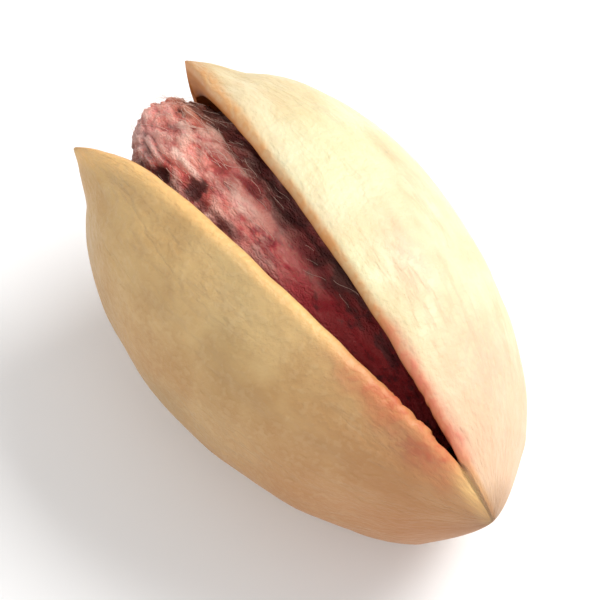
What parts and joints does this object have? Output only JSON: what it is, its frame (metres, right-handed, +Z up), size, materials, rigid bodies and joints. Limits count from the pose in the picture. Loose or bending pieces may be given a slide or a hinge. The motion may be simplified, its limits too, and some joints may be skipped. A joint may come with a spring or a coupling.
{
  "type": "pistachio in shell",
  "caption": "Pistachio in its split shell: a pale hard shell gaping from the beaks to the stem end, with the loose purple kernel showing in the slit.",
  "frame": {"origin": "middle of the nut's bounding box, at the height of the flat spot it rests on", "axes": "+X along the nut towards its stem end, with the beaks at -X; +Z up, with the slit on top; +Y across the slit"},
  "size_m": [0.02, 0.0126, 0.0125],
  "materials": {
    "shell": "satin, dry roasted nutshell with a cream to tan colour and faint lengthwise streaks",
    "kernel": "wrinkled papery skin, maroon with pink and grey-lilac mottling"
  },
  "bodies": {
    "root": {"shell": "shell", "kernel": "kernel"}
  },
  "joints": []
}
